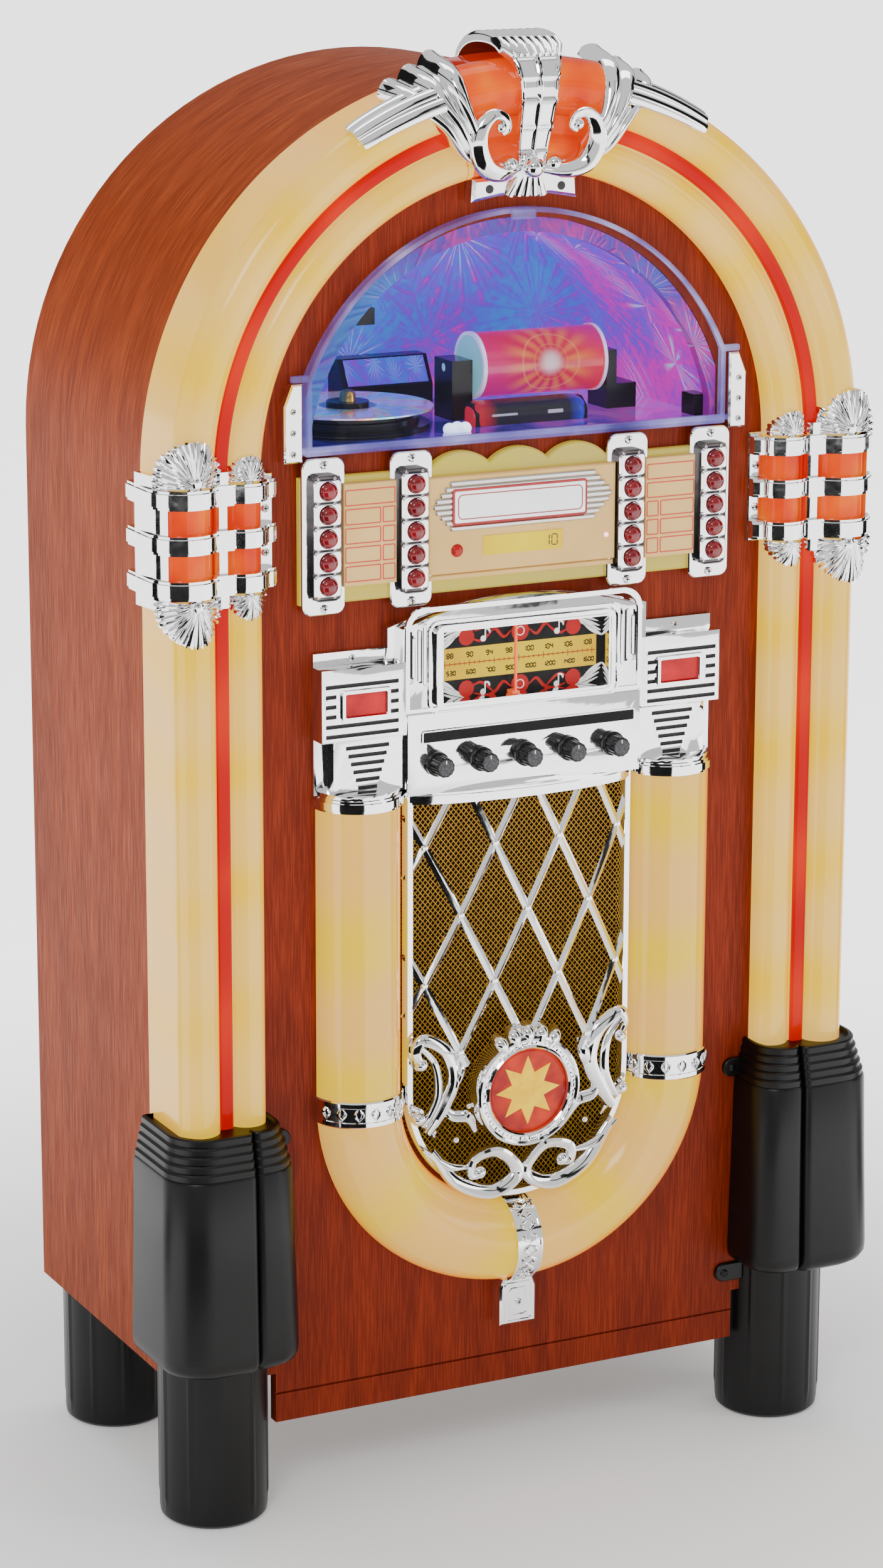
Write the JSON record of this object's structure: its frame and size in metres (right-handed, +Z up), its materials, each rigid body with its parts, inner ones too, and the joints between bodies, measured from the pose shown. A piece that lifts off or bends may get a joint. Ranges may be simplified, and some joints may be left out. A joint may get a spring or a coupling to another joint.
{
  "type": "cd jukebox",
  "caption": "Arched floor-standing jukebox for compact discs and radio: light columns, chrome crown, clear drop-down window door, push keys, dial, knobs and speaker grille.",
  "frame": {"origin": "centre of the footprint's bounding box, on the floor", "axes": "+Z up, +X to the right seen from the front, +Y to the back; the front faces -Y"},
  "size_m": [0.568, 0.314, 1.0395],
  "materials": {
    "steel_tray": "folded steel",
    "board": "plain fibreboard",
    "chrome_trim": "bright plating",
    "veneer": "satin mahogany veneer",
    "chamber_black": "black moulding",
    "cream_lens": "milky moulding lit from inside",
    "disc": "mirror film in clear plastic",
    "dial_glass": "printed clear cover",
    "pointer": "painted needle",
    "display": "yellow window",
    "foot_black": "ribbed moulding",
    "boot_black": "satin black moulding",
    "red_rocker": "lit red moulding",
    "orange_lens": "orange-red moulding lit from inside",
    "socket_black": "black moulding",
    "red_strip": "bright red strip",
    "gold_mesh": "expanded metal",
    "speaker_black": "pressed basket and paper cone",
    "medallion": "red lens",
    "drum_card": "printed card sleeve",
    "cream_panel": "milky moulding lit from inside",
    "chamber_grey": "moulding with foil lining",
    "clear_door": "clear moulding",
    "knob_black": "fluted moulding",
    "red_key": "dark red domed key"
  },
  "bodies": {
    "cabinet": {"amplifier": "steel_tray", "base_panel": "board", "button_housings": "chrome_trim", "cabinet_shell": "veneer", "chamber_fittings": "chamber_black", "column_lenses": "cream_lens", "crown_casting": "chrome_trim", "dial_plate": "dial_glass", "disc_deck": "chamber_black", "display_window": "display", "feet": "foot_black", "foot_boots": "boot_black", "front_panel": "veneer", "grille_casting": "chrome_trim", "hinge_brackets": "chrome_trim", "lens_clips": "chrome_trim", "orange_lenses": "orange_lens", "rear_panel": "board", "rear_sockets": "socket_black", "red_strips": "red_strip", "shell_bands": "chrome_trim", "speaker_mesh": "gold_mesh", "speakers": "speaker_black", "star_medallion": "medallion", "title_panel": "cream_panel", "tuner_fascia": "chrome_trim", "u_lens": "cream_lens", "window_chamber": "chamber_grey"},
    "door": {"window_door": "clear_door"},
    "turntable": {"turntable": "chamber_black", "compact_disc": "disc"},
    "title_drum": {"title_drum": "drum_card"},
    "dial_pointer": {"dial_pointer": "pointer"},
    "power_switch": {"power_rocker": "red_rocker"},
    "light_switch": {"light_rocker": "red_rocker"},
    "knob_volume": {"knob_volume": "knob_black"},
    "knob_treble": {"knob_treble": "knob_black"},
    "knob_tuning": {"knob_tuning": "knob_black"},
    "knob_bass": {"knob_bass": "knob_black"},
    "knob_function": {"knob_function": "knob_black"},
    "button_a1": {"button_a1": "red_key"},
    "button_a2": {"button_a2": "red_key"},
    "button_a3": {"button_a3": "red_key"},
    "button_a4": {"button_a4": "red_key"},
    "button_a5": {"button_a5": "red_key"},
    "button_b1": {"button_b1": "red_key"},
    "button_b2": {"button_b2": "red_key"},
    "button_b3": {"button_b3": "red_key"},
    "button_b4": {"button_b4": "red_key"},
    "button_b5": {"button_b5": "red_key"},
    "button_c1": {"button_c1": "red_key"},
    "button_c2": {"button_c2": "red_key"},
    "button_c3": {"button_c3": "red_key"},
    "button_c4": {"button_c4": "red_key"},
    "button_c5": {"button_c5": "red_key"},
    "button_d1": {"button_d1": "red_key"},
    "button_d2": {"button_d2": "red_key"},
    "button_d3": {"button_d3": "red_key"},
    "button_d4": {"button_d4": "red_key"},
    "button_d5": {"button_d5": "red_key"}
  },
  "joints": [
    {"name": "door_hinge", "type": "hinge", "parent": "cabinet", "child": "door", "pos_m": [0, -0.1095, 0.7654], "axis": [1, 0, 0], "range_deg": [0, 85]},
    {"name": "turntable_spin", "type": "hinge", "parent": "cabinet", "child": "turntable", "pos_m": [-0.093, -0.03, 0.775], "axis": [0, 0, 1], "continuous": true},
    {"name": "drum_spin", "type": "hinge", "parent": "cabinet", "child": "title_drum", "pos_m": [0.0538, -0.025, 0.801], "axis": [1, 0, 0], "continuous": true},
    {"name": "pointer_slide", "type": "slide", "parent": "cabinet", "child": "dial_pointer", "axis": [1, 0, 0], "range_m": [-0.054, 0.068]},
    {"name": "power_rock", "type": "hinge", "parent": "cabinet", "child": "power_switch", "pos_m": [-0.1235, -0.118, 0.589], "axis": [1, 0, 0], "range_deg": [-6, 6]},
    {"name": "light_rock", "type": "hinge", "parent": "cabinet", "child": "light_switch", "pos_m": [0.1235, -0.118, 0.589], "axis": [1, 0, 0], "range_deg": [-6, 6]},
    {"name": "volume_turn", "type": "hinge", "parent": "cabinet", "child": "knob_volume", "pos_m": [-0.0692, -0.13, 0.541], "axis": [0, 1, 0], "range_deg": [-140, 140]},
    {"name": "treble_turn", "type": "hinge", "parent": "cabinet", "child": "knob_treble", "pos_m": [-0.0346, -0.13, 0.541], "axis": [0, 1, 0], "range_deg": [-140, 140]},
    {"name": "tuning_turn", "type": "hinge", "parent": "cabinet", "child": "knob_tuning", "pos_m": [0, -0.13, 0.541], "axis": [0, 1, 0], "range_deg": [-520, 650]},
    {"name": "bass_turn", "type": "hinge", "parent": "cabinet", "child": "knob_bass", "pos_m": [0.0346, -0.13, 0.541], "axis": [0, 1, 0], "range_deg": [-140, 140]},
    {"name": "function_turn", "type": "hinge", "parent": "cabinet", "child": "knob_function", "pos_m": [0.0692, -0.13, 0.541], "axis": [0, 1, 0], "range_deg": [-60, 60]},
    {"name": "press_a1", "type": "slide", "parent": "cabinet", "child": "button_a1", "axis": [0, 1, 0], "range_m": [0, 0.002], "stiffness_N_per_m": 200},
    {"name": "press_a2", "type": "slide", "parent": "cabinet", "child": "button_a2", "axis": [0, 1, 0], "range_m": [0, 0.002], "stiffness_N_per_m": 200},
    {"name": "press_a3", "type": "slide", "parent": "cabinet", "child": "button_a3", "axis": [0, 1, 0], "range_m": [0, 0.002], "stiffness_N_per_m": 200},
    {"name": "press_a4", "type": "slide", "parent": "cabinet", "child": "button_a4", "axis": [0, 1, 0], "range_m": [0, 0.002], "stiffness_N_per_m": 200},
    {"name": "press_a5", "type": "slide", "parent": "cabinet", "child": "button_a5", "axis": [0, 1, 0], "range_m": [0, 0.002], "stiffness_N_per_m": 200},
    {"name": "press_b1", "type": "slide", "parent": "cabinet", "child": "button_b1", "axis": [0, 1, 0], "range_m": [0, 0.002], "stiffness_N_per_m": 200},
    {"name": "press_b2", "type": "slide", "parent": "cabinet", "child": "button_b2", "axis": [0, 1, 0], "range_m": [0, 0.002], "stiffness_N_per_m": 200},
    {"name": "press_b3", "type": "slide", "parent": "cabinet", "child": "button_b3", "axis": [0, 1, 0], "range_m": [0, 0.002], "stiffness_N_per_m": 200},
    {"name": "press_b4", "type": "slide", "parent": "cabinet", "child": "button_b4", "axis": [0, 1, 0], "range_m": [0, 0.002], "stiffness_N_per_m": 200},
    {"name": "press_b5", "type": "slide", "parent": "cabinet", "child": "button_b5", "axis": [0, 1, 0], "range_m": [0, 0.002], "stiffness_N_per_m": 200},
    {"name": "press_c1", "type": "slide", "parent": "cabinet", "child": "button_c1", "axis": [0, 1, 0], "range_m": [0, 0.002], "stiffness_N_per_m": 200},
    {"name": "press_c2", "type": "slide", "parent": "cabinet", "child": "button_c2", "axis": [0, 1, 0], "range_m": [0, 0.002], "stiffness_N_per_m": 200},
    {"name": "press_c3", "type": "slide", "parent": "cabinet", "child": "button_c3", "axis": [0, 1, 0], "range_m": [0, 0.002], "stiffness_N_per_m": 200},
    {"name": "press_c4", "type": "slide", "parent": "cabinet", "child": "button_c4", "axis": [0, 1, 0], "range_m": [0, 0.002], "stiffness_N_per_m": 200},
    {"name": "press_c5", "type": "slide", "parent": "cabinet", "child": "button_c5", "axis": [0, 1, 0], "range_m": [0, 0.002], "stiffness_N_per_m": 200},
    {"name": "press_d1", "type": "slide", "parent": "cabinet", "child": "button_d1", "axis": [0, 1, 0], "range_m": [0, 0.002], "stiffness_N_per_m": 200},
    {"name": "press_d2", "type": "slide", "parent": "cabinet", "child": "button_d2", "axis": [0, 1, 0], "range_m": [0, 0.002], "stiffness_N_per_m": 200},
    {"name": "press_d3", "type": "slide", "parent": "cabinet", "child": "button_d3", "axis": [0, 1, 0], "range_m": [0, 0.002], "stiffness_N_per_m": 200},
    {"name": "press_d4", "type": "slide", "parent": "cabinet", "child": "button_d4", "axis": [0, 1, 0], "range_m": [0, 0.002], "stiffness_N_per_m": 200},
    {"name": "press_d5", "type": "slide", "parent": "cabinet", "child": "button_d5", "axis": [0, 1, 0], "range_m": [0, 0.002], "stiffness_N_per_m": 200}
  ],
  "couplings": [
    {"joint": "tuning_turn", "follows": "pointer_slide", "rad_per_m": 166.67}
  ]
}
